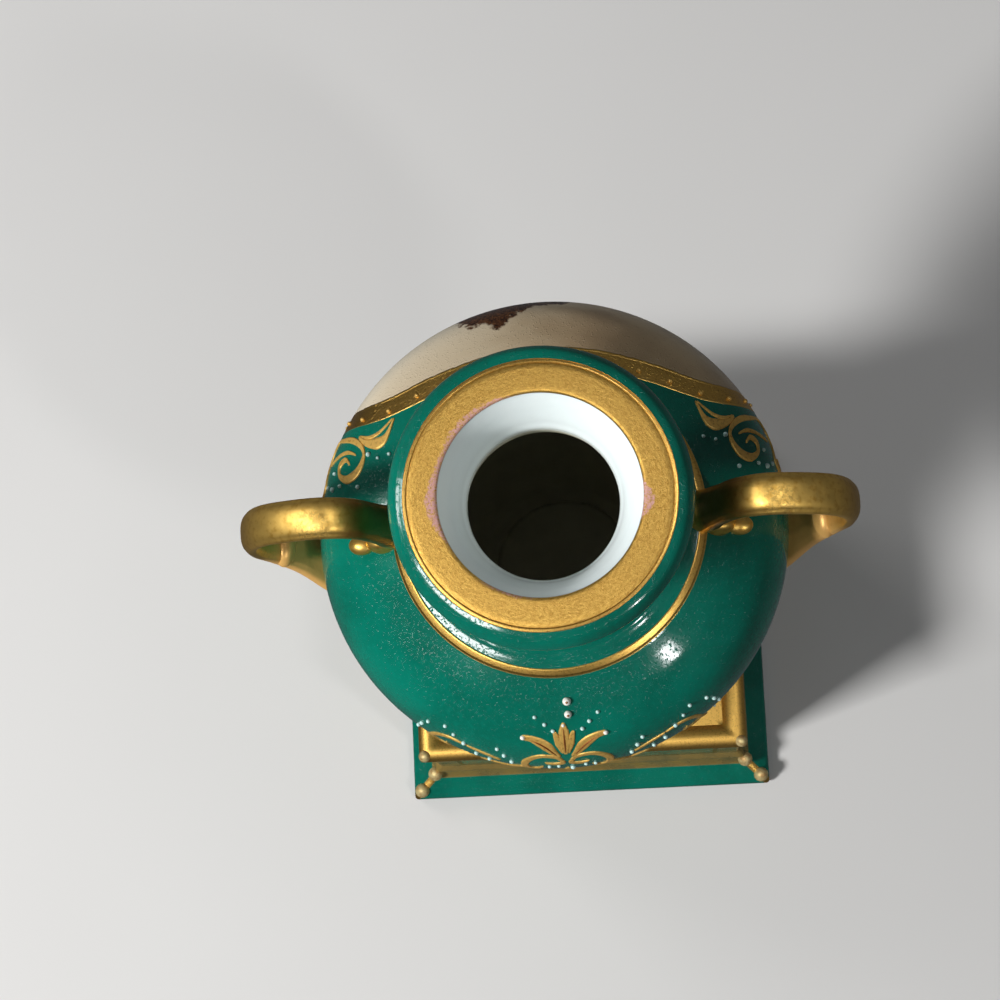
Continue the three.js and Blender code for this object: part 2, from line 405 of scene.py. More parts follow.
def shell_outline():
    """Lengths of outline from the foot up, over the rim and down the inside, each with its finish."""
    foot = [(2, foot_z + 2), (21, foot_z + 2), (21.6, foot_z), (25.2, foot_z)]
    torus = [(25.2, foot_z), (26.4, foot_z + 1.2), (26.9, foot_z + 3), (26, foot_z + 4.8)]
    torus = curve_through(torus, 14)[1:]
    fillet = [(24.2, foot_z + 5.6), (23.8, foot_z + 7), (22.6, foot_z + 8)]
    stem = [(22.6, foot_z + 8), (15.5, foot_z + 12.5), (10.2, foot_z + 20), (8.4, foot_z + 29)]
    stem = curve_through(stem, 24)
    knop = [(10, collar_z - 9), (12.4, collar_z - 7), (12.6, collar_z - 5), (10.4, collar_z - 3)]
    knop = curve_through(knop, 16)
    body = [p for p in body_curve if not (p[1] > belly_z and p[0] < neck_foot_radius + 0.75)]
    line_start = (neck_foot_radius + 0.72, neck_foot_z - 0.22)
    line_end = (neck_foot_radius - 0.7, neck_foot_z + 0.42)
    line = raised_line(line_start, line_end, 0.14)
    neck = curve_through(
        [
            (29.2, neck_foot_z + 0.42), (27.3, neck_foot_z + 0.95), (25.4, neck_foot_z + 2.1),
            (22.6, neck_foot_z + 6.8), (18.9, waist_z), (21.6, lip_z - 5.6),
            (26.2, lip_z - 3.2), (28.4, lip_z), (27.4, height - 1), (25.4, height - 0.1),
        ],
        84,
    )
    edge = raised_line((25.35, height - 0.16), (24.75, height - 0.09), 0.08)
    ring = [(24.6, height - 0.2), (24.4, height - 0.08)]
    ring += [(r, height - 0.06) for r in (23.5, 22, 20.6, 19.8)]
    ring += [(19.4, height - 0.09), (19.1, height - 0.24), (19.0, height - 0.5)]
    bore = curve_through(
        [
            (19, height - 0.6), (17, height - 4.5), (15.2, height - 9.5), (throat, waist_z),
            (17.6, neck_foot_z + 4), (27, neck_foot_z - 4.4),
        ],
        44,
    )
    cavity = curve_through(
        [
            (36, neck_foot_z - 8.6), (belly_radius - 4.4, belly_z - 1), (41.6, belly_z - 15),
            (35.6, collar_z + 37), (26.6, collar_z + 21), (18, collar_z + 5.4),
        ],
        40,
    )
    floor_of_bowl = collar_z + 5
    pad = [(15.6, floor_of_bowl - 1.2), (15.2, floor_of_bowl - 0.3)]
    pad += [(r, floor_of_bowl) for r in (14.6, 8, 2)]
    return [
        (foot, "bare"), (torus, "gilt"), (fillet + stem, "green"), (knop, "gilt"),
        (body, "green"), (line, "gilt"), (neck, "green"), (edge, "gilt"),
        (ring, "ring"), (bore + cavity + pad, "white"),
    ]


def body_at(s):
    """Radius and height of the body at a length s down its outline from the foot of the neck."""
    return np.interp(s, body_s, body_r), np.interp(s, body_s, body_z)


outline_down = np.array(body_curve[::-1])
body_s = np.concatenate([[0], np.cumsum(np.hypot(*np.diff(outline_down, axis=0).T))])
body_r, body_z = outline_down.T
panel_side = [  # degrees round from the front, millimetres down
    (0, 5.2), (13, 5.5), (26, 6.5), (33, 7.6), (39, 8.9), (45, 10.6), (50, 12.9), (53.5, 15.8),
    (55.8, 19.6), (57, 25), (57.4, 35), (56.6, 46), (54, 53), (48, 58.5), (38, 62.5), (26, 64.8),
    (13, 66), (0, 66.4),
]
panel_steps = 170
band_wide = 4.4
far_from_panel = 20.0


def panel_outline(out=0.0):
    """The arched panel's edge as (angle from the front, s), moved outwards by some millimetres."""
    half = np.array(curve_through(panel_side, panel_steps))
    half[:, 0] = np.radians(half[:, 0])
    whole = np.concatenate([half, half[-2:0:-1] * (-1, 1)])
    radius = body_at(whole[:, 1])[0]
    flat = np.stack([whole[:, 0] * radius, whole[:, 1]], 1)
    ahead = np.roll(flat, -1, 0) - np.roll(flat, 1, 0)
    ahead /= np.linalg.norm(ahead, axis=1)[:, None]
    moved = flat + np.stack([ahead[:, 1], -ahead[:, 0]], 1) * out
    return np.stack([moved[:, 0] / body_at(moved[:, 1])[0], moved[:, 1]], 1)


def on_body(angle, s, proud=0.0):
    """A point of the body's surface, in millimetres; angle 0 is the painted front, towards +X."""
    r, z = body_at(s)
    ahead_r, ahead_z = body_at(np.asarray(s) + 0.2)
    back_r, back_z = body_at(np.asarray(s) - 0.2)
    slope = np.arctan2(ahead_r - back_r, back_z - ahead_z)
    r = r + proud * np.cos(slope)
    z = z + proud * np.sin(slope)
    return np.stack([r * np.sin(angle), -r * np.cos(angle), z], -1)


def inside_outline(angle, s, outline):
    """Whether points lie inside a closed outline, by counting crossings."""
    found = np.zeros(len(angle), bool)
    ends = np.roll(outline, -1, 0)
    for (a0, s0), (a1, s1) in zip(outline, ends):
        crosses = (s0 > s) != (s1 > s)
        with np.errstate(divide="ignore", invalid="ignore"):
            at = a0 + (s - s0) * (a1 - a0) / (s1 - s0)
        found ^= crosses & (angle < at)
    return found


def panel_distance(corners):
    """Distance of each corner from the panel's edge, negative inside it."""
    outline = panel_outline()
    edge = on_body(outline[:, 0], outline[:, 1])
    reach = np.full(len(corners), far_from_panel)
    in_front = corners[:, 1] < -5
    above_collar = corners[:, 2] > collar_z + 8
    wider_than_neck = np.hypot(corners[:, 0], corners[:, 1]) > 29
    near = np.nonzero(in_front & above_collar & wider_than_neck)[0]
    at_once = 4000
    for start in range(0, len(near), at_once):
        some = near[start:start + at_once]
        gap = np.linalg.norm(corners[some][:, None] - edge[None], axis=2).min(1)
        angle = np.arctan2(corners[some, 0], -corners[some, 1])
        s = np.interp(-corners[some, 2], -body_z, body_s)
        reach[some] = np.where(inside_outline(angle, s, outline), -gap, gap)
    return np.clip(reach, -far_from_panel, far_from_panel)


def picture_colour(finish):
    """A plain river landscape at twilight: a clouded sky, far hills, water, bushes and one autumn tree.
    The sky is painted browner towards -X, as twilight and as painted shade; the top, under the lip, is
    painted darker as painted shade.
    """
    drift = finish.noise(0.045, 5.0, finish.stretched(1, 1, 2.2))
    # Painted shade and the painting's twilight sky together: cream towards +X, browner towards -X.
    dusk_and_painted_shade = finish.rise(finish.x, 22, -22)
    clear = finish.blend(dusk_and_painted_shade, (0.95, 0.90, 0.77), (0.66, 0.56, 0.40))
    cloud = finish.blend(dusk_and_painted_shade, (0.80, 0.68, 0.50), (0.45, 0.36, 0.25))
    sky = finish.blend(finish.rise(drift, 0.42, 0.74), clear, cloud)
    sky = finish.blend(finish.rise(finish.z, 148, 168), (0.86, 0.64, 0.38), sky)
    wave = finish.line(finish.noise(0.07, 4.0), 14.0, -7.0)
    level = finish.plus(finish.z, wave)
    hills = finish.blend(finish.rise(level, 145, 152), (0.15, 0.17, 0.13), (0.27, 0.26, 0.24))
    colour = finish.blend(finish.rise(level, 153, 152), sky, hills)
    ripples = finish.rise(finish.noise(0.25, 3.0, finish.stretched(0.4, 0.4, 3)), 0.4, 0.62)
    water = finish.blend(ripples, (0.34, 0.33, 0.27), (0.13, 0.15, 0.13))
    colour = finish.blend(finish.rise(finish.z, 146, 145.4), colour, water)
    bank = finish.blend(finish.noise(0.8, 5.0), (0.05, 0.055, 0.018), (0.19, 0.14, 0.05))
    colour = finish.blend(finish.rise(level, 137, 136), colour, bank)
    sway = finish.line(finish.noise(0.12, 3.0), 7.0, -3.5)
    lean = finish.line(finish.z, 0.12, -14.5)
    stem = finish.number("ABSOLUTE", finish.minus(finish.x, finish.plus(lean, sway)))
    thick = finish.line(finish.z, -0.035, 6.4)
    within = finish.rise(finish.minus(thick, stem), -0.1, 0.2)
    stem = finish.times(within, finish.between(finish.z, 131, 163, 0.6))
    colour = finish.blend(stem, colour, (0.055, 0.03, 0.018))
    leafage = finish.noise(1.2, 5.0, roughness=0.7)
    green_leaf = finish.blend(leafage, (0.012, 0.022, 0.008), (0.13, 0.13, 0.04))
    left_bushes = ((-27, 139, 8), (-20, 135, 7), (-33, 147, 6), (-11, 131, 5))
    right_bushes = ((25, 136, 6), (31, 142, 7))
    bushes = clump(finish, left_bushes + right_bushes)
    colour = finish.blend(bushes, colour, green_leaf)
    leafage = finish.rise(finish.noise(1.3, 5.0, roughness=0.75), 0.35, 0.7)
    red_leaf = finish.blend(leafage, (0.030, 0.011, 0.006), (0.20, 0.085, 0.03))
    boughs = ((9, 168, 9), (0, 166, 7), (16, 161, 6), (-4, 158, 5), (6, 159, 7), (12, 153, 4))
    colour = finish.blend(clump(finish, boughs), colour, red_leaf)
    # Painted shade: the top of the picture, under the lip, is multiplied darker and browner.
    painted_shade_above = finish.blend(finish.rise(finish.z, 165, 180), (1.0, 0.98, 0.93), (0.58, 0.50, 0.40))
    return finish.blend(1.0, colour, painted_shade_above, "MULTIPLY")


def clump(finish, lobes):
    """The ragged outline of foliage made of round lobes, each (x, z, radius)."""
    ragged = finish.line(finish.noise(0.30, 6.0, roughness=0.75), 7.0, -3.5)
    flat = finish.combined(finish.x, finish.z)
    best = None
    for x, z, radius in lobes:
        away = finish.minus(finish.distance(flat, (x, z, 0)), radius)
        best = away if best is None else finish.number("MINIMUM", best, away)
    return finish.rise(finish.plus(best, ragged), 0.5, -0.5)


def painted_glaze():
    """The body's skin: green glaze, and within the gilt band the enamelled picture."""
    finish = Finish("painted_glaze")
    edge = finish.node("ShaderNodeAttribute", {}, attribute_name="panel_edge").outputs["Fac"]
    picture = finish.rise(edge, 0.05, -0.05)
    band = finish.between(edge, 0.0, band_wide, 0.04)
    inner_line = finish.between(edge, 0.1, 0.5, 0.08)
    outer_line = finish.between(edge, band_wide - 0.5, band_wide - 0.1, 0.08)
    lines = finish.plus(inner_line, outer_line)
    matt = finish.blend(0.15, gold_colour(finish), gold_brown)
    gold = finish.blend(finish.times(lines, 0.8), matt, gold_bright)
    colour = finish.blend(picture, glaze_colour(finish), picture_colour(finish))
    collar_lines = ((collar_z + 3.0, collar_z + 3.6), (collar_z + 5.2, collar_z + 6.6))
    foot_line = (foot_z + 10.2, foot_z + 10.9)
    for low, high in (*collar_lines, foot_line):
        band = finish.larger(band, finish.between(finish.z, low, high, 0.05))
    finish.set(Base_Color=finish.blend(band, colour, gold), Metallic=band)
    dulled = finish.larger(band, finish.times(picture, 0.5))
    finish.set(Roughness=finish.line(dulled, 0.26, 0.10))
    finish.set(Normal=finish.relief(finish.plus(band, lines), 0.06, 0.8, glaze_skin(finish)))
    return finish.material


def ring_gilding():
    """Satin gold brushed round the mouth, worn to its pink ground at the inner edge."""
    finish = Finish("mouth_ring_gilding")
    radius, angle = finish.round()
    brushed = finish.combined(finish.times(radius, 2.4), finish.times(angle, 22.0))
    strokes = finish.noise(1.0, 5.0, brushed, 0.7)
    speck = finish.noise(2.6, 4.0, roughness=0.8)
    colour = finish.blend(finish.rise(strokes, 0.35, 0.7), (0.63, 0.39, 0.094), (0.46, 0.255, 0.051))
    colour = finish.blend(finish.rise(speck, 0.52, 0.68), colour, (0.34, 0.17, 0.03))
    ragged = finish.line(finish.noise(1.1, 6.0, roughness=0.8), 3.2, -1.6)
    worn_places = ((0.03, 0.30, 2.1), (-0.80, 0.42, 1.2), (3.04, 0.14, 2.0), (1.2, 0.3, 0.4))
    reach = 0.1
    for middle, wide, deep in worn_places:
        apart = finish.number("WRAP", finish.minus(angle, middle), math.pi, -math.pi)
        off = finish.number("DIVIDE", apart, wide)
        lobe = finish.number("EXPONENT", finish.times(finish.times(off, off), -1.0))
        reach = finish.plus(reach, finish.times(lobe, deep))
    far_in = finish.minus(finish.plus(reach, ragged), finish.minus(radius, ring_inner))
    wear = finish.times(finish.rise(far_in, -0.15, 0.35), finish.rise(reach, 0.15, 0.5))
    wear = finish.times(wear, finish.rise(speck, 0.60, 0.46))
    pink = finish.blend(finish.rise(strokes, 0.3, 0.7), (0.52, 0.24, 0.24), (0.62, 0.35, 0.32))
    colour = finish.blend(wear, colour, pink)
    finish.set(Base_Color=colour, Metallic=finish.line(wear, -0.95, 0.97))
    finish.set(Roughness=finish.spread(strokes, 0.32, 0.5))
    finish.set(Normal=finish.relief(finish.plus(strokes, speck), 0.08, 0.8))
    return finish.material


def white_glaze():
    """White glaze down the bore; the unseen walls below it are painted greyish and darker as painted
    shade of the deep inside.
    """
    finish = Finish("white_inner_glaze")
    bore = finish.blend(finish.noise(0.12, 3.0), (0.78, 0.86, 0.86), (0.82, 0.88, 0.87))
    # Painted shade: below the waist the inside is painted a darker greyish olive.
    thin = finish.blend(finish.noise(0.2, 4.0), (0.62, 0.60, 0.47), (0.48, 0.46, 0.35))
    finish.set(Base_Color=finish.blend(finish.rise(finish.z, waist_z - 1, waist_z + 4), thin, bore))
    dull_to_glossy = {0: finish.z, 1: waist_z - 1, 2: waist_z + 4, 3: 0.5, 4: 0.12}
    finish.set(Roughness=finish.node("ShaderNodeMapRange", dull_to_glossy).outputs[0])
    finish.set(Normal=finish.relief(finish.noise(0.4, 2.0), 0.08, 0.4))
    return finish.material


def vase_shell():
    finishes = {"bare": 0, "gilt": 1, "green": 2, "ring": 3, "white": 4}
    profile, kinds = [], []
    for points, finish in shell_outline():
        points = points if not profile else [p for p in points if math.dist(p, profile[-1]) > 0.01]
        profile += points
        kinds += [finishes[finish]] * len(points)
    turn = np.linspace(0, 2 * np.pi, round_steps, endpoint=False)
    outline = np.array(profile)
    corners = np.stack(
        [
            outline[:, :1] * np.cos(turn), outline[:, :1] * np.sin(turn),
            np.repeat(outline[:, 1:], round_steps, 1),
        ],
        2,
    ).reshape(-1, 3)
    faces = rings_to_faces(len(profile), round_steps)
    face_kinds = [kinds[i // round_steps + 1] for i in range((len(profile) - 1) * round_steps)] + [0, 4]
    materials = [
        bare_porcelain(), plain_gold("vase_gilding", 0.3), painted_glaze(),
        ring_gilding(), white_glaze(),
    ]
    shell = add_piece("vase_shell", corners, faces, materials, face_kinds, sharp=50)
    edge = shell.data.attributes.new("panel_edge", "FLOAT", "POINT")
    edge.data.foreach_set("value", panel_distance(corners))
    return shell


vase = vase_shell()
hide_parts("vase")
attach(vase, "root")


# ---------------------------------------------------------------- Handles
# Two pressed porcelain straps, stuck on at the foot of the neck and at the widest part of the body,
# where they spread into a ribbed leaf. Gilt all over and burnished.

handle_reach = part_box("vase")[1].x / MM - 0.15
strap_steps = 200
strap_sides = 48
leaf_starts = 0.80
lobe_sides = 28
lobe_rows = 16
rubbed_place = (44, 1.8, 202)
handle_stations = [  # x, z, half width across Y, half thickness
    (28.5, neck_foot_z - 1.4, 4.3, 2.8),
    (31.2, neck_foot_z + 2, 4.2, 2.6),
    (33.4, neck_foot_z + 8.5, 3.9, 2.1),
    (36.4, neck_foot_z + 15.1, 3.9, 1.9),
    (41.6, neck_foot_z + 18.5, 4, 1.8),
    (48, neck_foot_z + 17.3, 4, 1.8),
    (handle_reach - 6, neck_foot_z + 13.1, 4, 1.8),
    (handle_reach - 2.4, neck_foot_z + 5.5, 4, 1.9),
    (handle_reach - 2, neck_foot_z - 3.5, 4, 2),
    (handle_reach - 4, neck_foot_z - 12.5, 4, 2.1),
    (52.3, belly_z - 0.6, 5.4, 2.3),
    (47.5, belly_z - 5.4, 8.6, 2.5),
    (44, belly_z - 7.8, 10.6, 2.2),
]


def strap(side):
    """A soft rectangle carried along the stations, grooved by its edges and ribbed at its root."""
    stations = np.array(curve_through(handle_stations, strap_steps))
    ahead = np.gradient(stations[:, :2], axis=0)
    ahead /= np.linalg.norm(ahead, axis=1)[:, None]
    turn = np.linspace(0, 2 * np.pi, strap_sides, endpoint=False)
    across = np.sign(np.cos(turn)) * np.abs(np.cos(turn)) ** 0.7
    swell = np.abs(np.sin(turn))
    out = np.where(np.sin(turn) > 0, np.sin(turn) ** 2 * 0.35 + 0.65 * swell, -swell ** 0.7)
    rings = []
    for i, (x, z, half, thick) in enumerate(stations):
        part = i / (len(stations) - 1)
        root = max(0.0, (part - leaf_starts) / (1 - leaf_starts))
        lift = thick * out
        groove = np.exp(-(((np.abs(across) - 0.84) / 0.045) ** 2))
        lift = lift - 0.16 * np.sign(out) * groove * (1 - root)
        lift = lift + 0.45 * root * np.cos(across * 9) * np.abs(out)
        rings.append(np.stack([x - ahead[i, 1] * lift, half * across, z + ahead[i, 0] * lift], 1))
    corners = np.concatenate(rings)
    corners[:, :2] *= side
    faces = [face[::-1] for face in rings_to_faces(len(rings), strap_sides)]
    return corners, faces


def lump(middle, radii, side, ribs=0):
    """A rounded lobe, ribbed along its length where ribs is given."""
    rings = []
    turn = np.linspace(0, 2 * np.pi, lobe_sides, endpoint=False)
    for row in range(1, lobe_rows):
        polar = math.pi * row / lobe_rows
        swell = 1 + 0.07 * np.cos(ribs * turn) * math.sin(polar) if ribs else 1
        x = np.full(lobe_sides, -math.cos(polar))
        y = np.cos(turn) * math.sin(polar) * swell
        z = np.sin(turn) * math.sin(polar) * swell
        rings.append(np.stack([m + r * c for m, r, c in zip(middle, radii, (x, y, z))], 1))
    corners = np.concatenate(rings)
    corners[:, :2] *= side
    faces = [face[::-1] for face in rings_to_faces(len(rings), lobe_sides)]
    return corners, faces


def handle_gold():
    """Burnished gold, browner towards the outside, painted dark as painted shade on the inner strap by
    the neck, and scratched where hands have rubbed the crest.
    """
    finish = Finish("handle_gilding")
    reach = finish.number("ABSOLUTE", finish.x)
    away = finish.distance(finish.combined(reach, finish.y, finish.z), rubbed_place)
    scratches = finish.rise(finish.noise(1.3, 5.0, roughness=0.75), 0.47, 0.56)
    rubbed = finish.times(finish.rise(away, 4.6, 2.4), scratches)
    thin = finish.rise(finish.noise(0.9, 4.0), 0.45, 0.8)
    colour = finish.blend(thin, (0.92, 0.59, 0.145), (0.70, 0.39, 0.07))
    colour = finish.blend(finish.times(finish.rise(reach, 55, 60), 0.6), colour, (0.36, 0.20, 0.045))
    colour = finish.blend(finish.times(rubbed, 0.5), colour, (0.40, 0.24, 0.07))
    # Painted shade: the inner strap by the neck and lip is painted dark brown.
    shaded = finish.times(finish.rise(reach, 41, 35), finish.rise(finish.z, 184, 187))
    colour = finish.blend(finish.times(shaded, 0.85), colour, (0.26, 0.10, 0.02))
    root = finish.rise(finish.z, 180, 168)
    colour = finish.blend(finish.times(root, 0.8), colour, (0.80, 0.44, 0.14))
    finish.set(Base_Color=colour, Metallic=finish.line(root, -0.60, 0.92))
    finish.set(Roughness=finish.spread(finish.noise(0.5, 4.0), 0.30, 0.50))
    dents = finish.relief(finish.noise(0.8, 3.0), 0.07, 0.5)
    finish.set(Normal=finish.relief(rubbed, 0.025, 0.5, dents))
    return finish.material


handle_material = handle_gold()


def join_parts(parts):
    """Several (corners, faces) as one."""
    corners, faces = [], []
    for part_corners, part_faces in parts:
        faces += [tuple(i + len(corners) for i in face) for face in part_faces]
        corners += [tuple(c) for c in part_corners]
    return corners, faces


for side, name in ((1, "handle_right"), (-1, "handle_left")):
    parts = [strap(side)]
    parts.append(lump((handle_reach - 6, 0, belly_z + 4.6), (2.5, 4.8, 2.5), side))
    for edge in (-1, 1):
        parts.append(lump((32.8, edge * 2.4, neck_foot_z - 1.2), (3.6, 2.3, 2.6), side, ribs=6))
        parts.append(lump((37.2, edge * 2.8, neck_foot_z - 2.0), (2.6, 2.0, 1.5), side))
    handle = add_piece(name, *join_parts(parts), [handle_material], sharp=60)
    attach(handle, "root")


# ---------------------------------------------------------------- Raised gilding
# Scrolls and leaves drawn on the glaze in thick paste, then gilt: a palmette over a cartouche on the
# back, its leaves veined in red gold, and a leaf with a scroll at each upper corner of the panel.
# Further down the body they run on more plainly.

paste_height = 0.26
vein_height = 0.6
paste_section = (  # across, from one rim to the other and back beneath, and height
    (-1, -0.1), (-0.86, 0.8), (-0.55, 1), (0, 0.62), (0.55, 1), (0.86, 0.8), (1, -0.1),
    (0.4, -0.5), (-0.4, -0.5),
)
points_per_length = 10


def stroke(path, widths, middle=0.0, mirror=1, measure="length", high=paste_height):
    """A ribbon of paste on the body. Path points are (across, down) from the middle, in millimetres, or
    with measure="angle" (degrees round, millimetres down). Its rims stand a little above its centre."""
    line = np.array(curve_through(path, points_per_length * (len(path) - 1)))
    if measure == "angle":
        line[:, 0] = np.radians(line[:, 0]) * body_at(line[:, 1])[0]
    ahead = np.gradient(line, axis=0)
    ahead /= np.linalg.norm(ahead, axis=1)[:, None]
    beside = np.stack([-ahead[:, 1], ahead[:, 0]], 1)
    along = np.linspace(0, 1, len(line))
    half = np.interp(along, np.linspace(0, 1, len(widths)), widths)[:, None] / 2
    step = np.concatenate([[0], np.cumsum(np.linalg.norm(np.diff(line, axis=0), axis=1))])
    from_end = np.minimum(step, step[-1] - step)[:, None]
    half = half * np.sqrt(1 - (1 - np.minimum(from_end / half, 1)) ** 2 * 0.97)
    rings = []
    for i in range(len(line)):
        spots = np.array([line[i] + beside[i] * half[i] * across for across, _ in paste_section])
        round_at = middle + mirror * spots[:, 0] / body_at(spots[:, 1])[0]
        slim = min(1.0, half[i, 0] / 0.3)
        proud = np.array([rise * high * (slim if rise > 0 else 1) for _, rise in paste_section])
        rings.append(on_body(round_at, spots[:, 1], proud))
    faces = rings_to_faces(len(rings), len(paste_section))
    if mirror > 0:
        faces = [face[::-1] for face in faces]
    return np.concatenate(rings), faces


def both_sides(path, widths, **where):
    return [stroke(path, widths, mirror=mirror, **where) for mirror in (1, -1)]


back = math.radians(182)
palmette_middle = math.radians(180.9)


def back_palmette():
    """Three leaves over a pair of scrolls, then a plain cartouche down the back of the body."""
    middle_leaf = [(0, 18.6), (0, 16.4), (0, 14.2), (0, 12.2), (0, 10.3)]
    drop_leaf = [(0, 33), (0, 30), (0, 27.4)]
    parts = [
        stroke(middle_leaf, (0.5, 1.8, 2.3, 2.0, 0.4), palmette_middle),
        stroke(drop_leaf, (0.5, 1.8, 0.3), palmette_middle),
    ]
    for path, widths in (
        ([(0.4, 18.2), (1.1, 15.3), (1.9, 12.2)], (0.6, 1.7, 0.6)),
        ([(1.2, 19.6), (2.4, 17.9), (3.6, 16.1), (5, 14.9), (6.7, 14.1), (8.5, 14)],
         (0.6, 1.7, 2.6, 2.3, 1.5, 1.1)),
        ([(1, 21.4), (1.8, 20), (3.4, 19.4), (5.2, 19.5), (6.9, 20.6), (8.2, 22.6), (8.6, 25.2),
          (7.8, 27.6), (6.2, 27.8), (5, 25.6)],
         (0.9, 1.0, 1.1, 1.2, 1.3, 1.6, 1.6, 1.3, 0.9, 0.4)),
        ([(1, 21.4), (0.9, 22.8), (2.2, 23.4), (3.4, 23.2), (4.5, 22.7)], (0.9, 1.2, 1.3, 0.9, 0.3)),
        ([(8.4, 26.4), (11.6, 30), (12.6, 35.5), (10.6, 41), (6, 46), (1.4, 50)],
         (0.8, 1.2, 1.2, 1.1, 1.0, 0.6)),
        ([(1.4, 50), (4.6, 52.5), (4.2, 56), (1.8, 56.4)], (0.6, 1.0, 0.9, 0.5)),
        ([(12, 31), (16, 30.5), (18, 33.5), (16.2, 35.6)], (0.6, 1.0, 0.9, 0.5)),
        ([(13.4, 24.6), (15.6, 23.4), (17.6, 22.6), (20.4, 21.8)], (0.5, 0.9, 0.9, 0.5)),
        ([(20.4, 21.8), (24, 21.6), (27, 23.4), (28.6, 27), (27, 30), (24.8, 29), (25.4, 27)],
         (0.5, 0.9, 1.0, 1.0, 0.9, 0.8, 0.5)),
        ([(28.6, 27), (30, 33), (27, 40), (21, 45), (15, 47.5)], (0.6, 1.0, 1.0, 0.9, 0.4)),
    ):
        parts += both_sides(path, widths, middle=palmette_middle)
    return parts


def leaf_veins():
    """A thin line of red gold down each leaf of the palmette."""
    vein = [(0, 18.2), (0, 15), (0, 11.6)]
    parts = [stroke(vein, (0.2, 0.36, 0.2), palmette_middle, high=vein_height)]
    rib = [(1.8, 18.9), (3.4, 16.6), (5.2, 15.1), (7.4, 14.2)]
    return parts + both_sides(rib, (0.2, 0.34, 0.34, 0.2), middle=palmette_middle, high=vein_height)


def panel_corners():
    """A crescent leaf and a spiral scroll at each upper corner of the panel, stems down its sides."""
    parts = []
    for path, widths in (
        ([(62.4, 13.6), (63.3, 11.2), (62.4, 8.6), (60.2, 7.3), (57, 7.3), (53, 7.9)],
         (0.5, 1.0, 1.7, 1.4, 0.9, 0.4)),
        ([(62.2, 13.4), (61.6, 11), (59.4, 9.4), (56.4, 8.6), (53.4, 8.2)],
         (0.35, 0.55, 0.5, 0.45, 0.3)),
        ([(64.6, 22.4), (64.3, 18.6), (63.8, 14.8), (64.6, 12), (66.8, 10.4), (70, 10.2),
          (73, 11.1), (74.7, 13), (73.8, 15.2), (71.2, 16.1), (69.3, 14.8), (70.4, 13.1)],
         (0.5, 0.9, 1.1, 1.1, 1.0, 1.1, 1.2, 1.2, 1.1, 1.0, 0.8, 0.5)),
        ([(71, 22), (69.6, 19.4), (68.2, 17), (67.2, 14.6), (67.4, 12.4)], (0.4, 0.6, 0.6, 0.6, 0.3)),
        ([(64.6, 22.4), (67.6, 25), (72, 24.6), (75.6, 22.6), (78.4, 23.6), (79, 27),
          (76.6, 28.6), (75, 26.8)],
         (0.5, 0.9, 1.0, 1.0, 1.1, 1.0, 0.8, 0.5)),
        ([(67.6, 25), (68.4, 30), (66, 35), (64.4, 40), (66.8, 44), (70, 44.4),
          (71.6, 41.8), (69.6, 40)],
         (0.5, 0.9, 1.0, 0.9, 1.0, 0.9, 0.8, 0.5)),
        ([(65, 41), (62.4, 48), (61, 54), (63.4, 58.6), (67, 58.4), (68, 55.6)],
         (0.5, 0.9, 1.0, 1.0, 0.9, 0.5)),
    ):
        parts += both_sides(path, widths, measure="angle")
    return parts


paste_gold = plain_gold("raised_gilding", 0.42, 1.6, metal=0.55)


def red_gilding():
    """Copper-red gold for veins and centres."""
    finish = Finish("red_gilding")
    finish.set(Base_Color=finish.blend(finish.noise(2.0, 3.0), (0.30, 0.10, 0.03), (0.42, 0.17, 0.05)))
    finish.set(Metallic=0.6, Roughness=0.4, Normal=finish.relief(finish.noise(6.0, 3.0), 0.03, 0.5))
    return finish.material


red_gold = red_gilding()
for name, parts, gold in (
    ("back_palmette_gilding", back_palmette(), paste_gold),
    ("panel_corner_gilding", panel_corners(), paste_gold),
    ("palmette_veins", leaf_veins(), red_gold),
):
    ornament = add_piece(name, *join_parts(parts), [gold], sharp=70)
    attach(ornament, "root")


# ---------------------------------------------------------------- Beads and enamel dots
# Drops of white and pale turquoise enamel are set round the gilding. Gilt beads run along the panel's
# band and sit on the mitres of the plinth. All are small, round and not quite alike in size.

bead_sides = 14
bead_rings = 8


